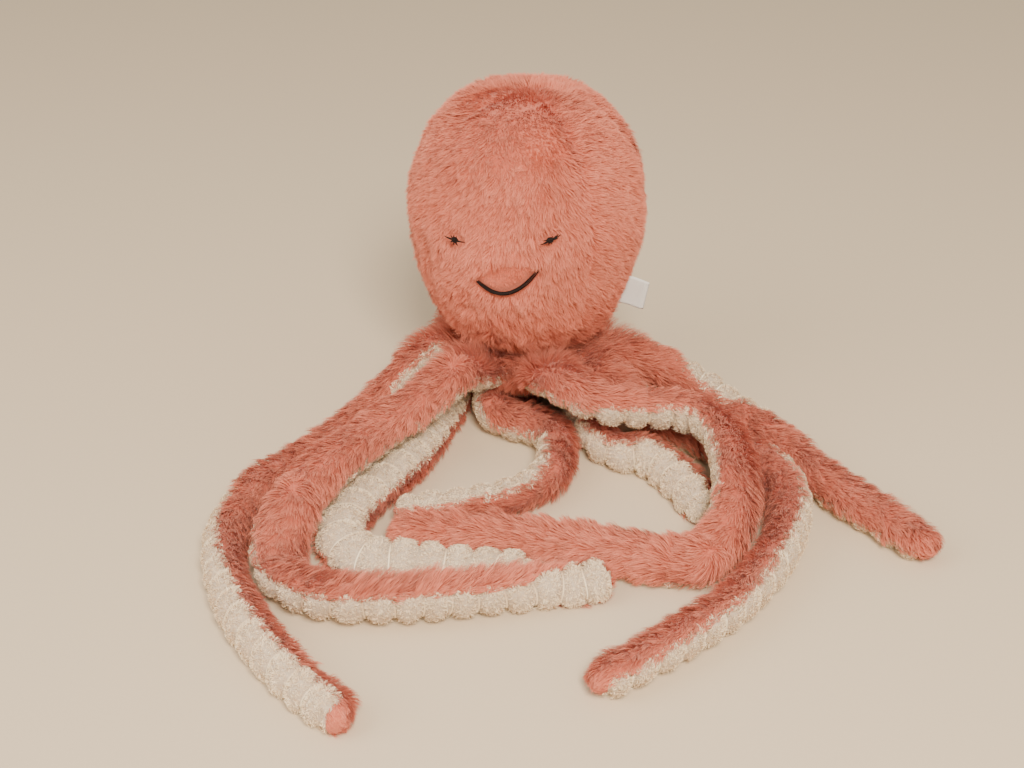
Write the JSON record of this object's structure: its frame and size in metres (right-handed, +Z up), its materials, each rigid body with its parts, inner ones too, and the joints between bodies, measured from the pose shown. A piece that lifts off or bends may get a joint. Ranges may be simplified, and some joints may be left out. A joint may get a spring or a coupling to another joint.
{
  "type": "plush octopus",
  "caption": "Plush octopus with a tall round head, a small stitched face and long tentacles of coral pile and ribbed cream chenille, laid out in loose curves.",
  "frame": {"origin": "on the floor under the centre of the round base, on the flat underside of the tentacle that runs below it", "axes": "+Z up, -Y towards the viewer, +X to the viewer's right; the face is turned 13 degrees from -Y towards -X"},
  "size_m": [0.3598, 0.3375, 0.185],
  "materials": {
    "coral_pile": "long combed coral pile",
    "cream_chenille": "short cream chenille with cross ribs",
    "label_ribbon": "plain woven white ribbon",
    "brown_thread": "satin embroidery thread",
    "fibre_filling": "loose polyester fibre",
    "bead_filling": "plastic beads in a cloth bag"
  },
  "bodies": {
    "base": {"base_disc": "cream_chenille", "base_band": "coral_pile", "bead_bag": "bead_filling", "tentacle_3_top_root": "coral_pile", "tentacle_3_underside_root": "cream_chenille", "tentacle_3_filling_root": "fibre_filling", "tentacle_4_top_root": "coral_pile", "tentacle_4_underside_root": "cream_chenille", "tentacle_4_filling_root": "fibre_filling", "tentacle_6_top_root": "coral_pile", "tentacle_6_underside_root": "cream_chenille", "tentacle_6_filling_root": "fibre_filling", "tentacle_8_top_root": "coral_pile", "tentacle_8_underside_root": "cream_chenille", "tentacle_8_filling_root": "fibre_filling"},
    "head": {"head_front_panel": "coral_pile", "head_right_panel": "coral_pile", "head_back_panel": "coral_pile", "head_left_panel": "coral_pile", "head_stuffing": "fibre_filling", "eye_left": "brown_thread", "eye_right": "brown_thread", "mouth": "brown_thread"},
    "label": {"side_label": "label_ribbon"},
    "tentacle_1_root": {"tentacle_1_top_root": "coral_pile", "tentacle_1_underside_root": "cream_chenille", "tentacle_1_filling_root": "fibre_filling"},
    "tentacle_2_root": {"tentacle_2_top_root": "coral_pile", "tentacle_2_underside_root": "cream_chenille", "tentacle_2_filling_root": "fibre_filling"},
    "tentacle_5_root": {"tentacle_5_top_root": "coral_pile", "tentacle_5_underside_root": "cream_chenille", "tentacle_5_filling_root": "fibre_filling"},
    "tentacle_7_root": {"tentacle_7_top_root": "coral_pile", "tentacle_7_underside_root": "cream_chenille", "tentacle_7_filling_root": "fibre_filling"},
    "tentacle_1_end": {"tentacle_1_top_end": "coral_pile", "tentacle_1_underside_end": "cream_chenille", "tentacle_1_filling_end": "fibre_filling"},
    "tentacle_2_end": {"tentacle_2_top_end": "coral_pile", "tentacle_2_underside_end": "cream_chenille", "tentacle_2_filling_end": "fibre_filling"},
    "tentacle_3_end": {"tentacle_3_top_end": "coral_pile", "tentacle_3_underside_end": "cream_chenille", "tentacle_3_filling_end": "fibre_filling"},
    "tentacle_4_end": {"tentacle_4_top_end": "coral_pile", "tentacle_4_underside_end": "cream_chenille", "tentacle_4_filling_end": "fibre_filling"},
    "tentacle_5_end": {"tentacle_5_top_end": "coral_pile", "tentacle_5_underside_end": "cream_chenille", "tentacle_5_filling_end": "fibre_filling"},
    "tentacle_6_end": {"tentacle_6_top_end": "coral_pile", "tentacle_6_underside_end": "cream_chenille", "tentacle_6_filling_end": "fibre_filling"},
    "tentacle_7_end": {"tentacle_7_top_end": "coral_pile", "tentacle_7_underside_end": "cream_chenille", "tentacle_7_filling_end": "fibre_filling"},
    "tentacle_8_end": {"tentacle_8_top_end": "coral_pile", "tentacle_8_underside_end": "cream_chenille", "tentacle_8_filling_end": "fibre_filling"}
  },
  "joints": [
    {"name": "head_nod", "type": "hinge", "parent": "base", "child": "head", "pos_m": [0, 0, 0.0446], "axis": [1, 0, 0], "range_deg": [-10, 10], "stiffness_Nm_per_rad": 0.6},
    {"name": "label_flap", "type": "hinge", "parent": "head", "child": "label", "pos_m": [0.05344, -0.01333, 0.076], "axis": [0.1651, -0.0537, 0.9848], "range_deg": [-12, 12], "stiffness_Nm_per_rad": 0.0001},
    {"name": "tentacle_1_lift", "type": "hinge", "parent": "base", "child": "tentacle_1_root", "pos_m": [-0.034, -0.006, 0.0397], "axis": [-0.1556, 0.9878, 0], "range_deg": [0, 20]},
    {"name": "tentacle_2_lift", "type": "hinge", "parent": "base", "child": "tentacle_2_root", "pos_m": [-0.0205, -0.0275, 0.0422], "axis": [-0.7941, 0.6077, 0], "range_deg": [0, 15]},
    {"name": "tentacle_5_lift", "type": "hinge", "parent": "base", "child": "tentacle_5_root", "pos_m": [0.0082, -0.033, 0.0422], "axis": [-0.9834, -0.1815, 0], "range_deg": [0, 8]},
    {"name": "tentacle_7_swing", "type": "hinge", "parent": "base", "child": "tentacle_7_root", "pos_m": [0.03534, 0.00733, 0.031], "axis": [0, 0, 1], "range_deg": [0, 15]},
    {"name": "tentacle_1_end_lift", "type": "hinge", "parent": "tentacle_1_root", "child": "tentacle_1_end", "pos_m": [-0.14372, -0.1257, 0.01917], "axis": [-0.9305, 0.3663, 0], "range_deg": [0, 60]},
    {"name": "tentacle_2_end_lift", "type": "hinge", "parent": "tentacle_2_root", "child": "tentacle_2_end", "pos_m": [-0.09572, -0.19677, 0.02189], "axis": [-0.3034, -0.9529, 0], "range_deg": [0, 45]},
    {"name": "tentacle_3_end_lift", "type": "hinge", "parent": "base", "child": "tentacle_3_end", "pos_m": [-0.04162, -0.16865, 0.01582], "axis": [-0.1054, -0.9944, 0], "range_deg": [0, 50]},
    {"name": "tentacle_4_end_lift", "type": "hinge", "parent": "base", "child": "tentacle_4_end", "pos_m": [-0.00954, -0.11476, 0.01903], "axis": [-0.451, 0.8925, 0], "range_deg": [0, 45]},
    {"name": "tentacle_5_end_lift", "type": "hinge", "parent": "tentacle_5_root", "child": "tentacle_5_end", "pos_m": [0.05542, -0.16589, 0.01983], "axis": [0.2446, 0.9696, 0], "range_deg": [0, 45]},
    {"name": "tentacle_6_end_lift", "type": "hinge", "parent": "base", "child": "tentacle_6_end", "pos_m": [0.13174, -0.13002, 0.02422], "axis": [-0.9954, 0.0963, 0], "range_deg": [0, 40]},
    {"name": "tentacle_7_end_lift", "type": "hinge", "parent": "tentacle_7_root", "child": "tentacle_7_end", "pos_m": [0.14147, -0.08035, 0.0179], "axis": [-0.8466, -0.5322, 0], "range_deg": [0, 60]},
    {"name": "tentacle_8_end_swing", "type": "hinge", "parent": "base", "child": "tentacle_8_end", "pos_m": [0.02736, -0.06237, 0.00941], "axis": [0, 0, -1], "range_deg": [0, 25]}
  ]
}
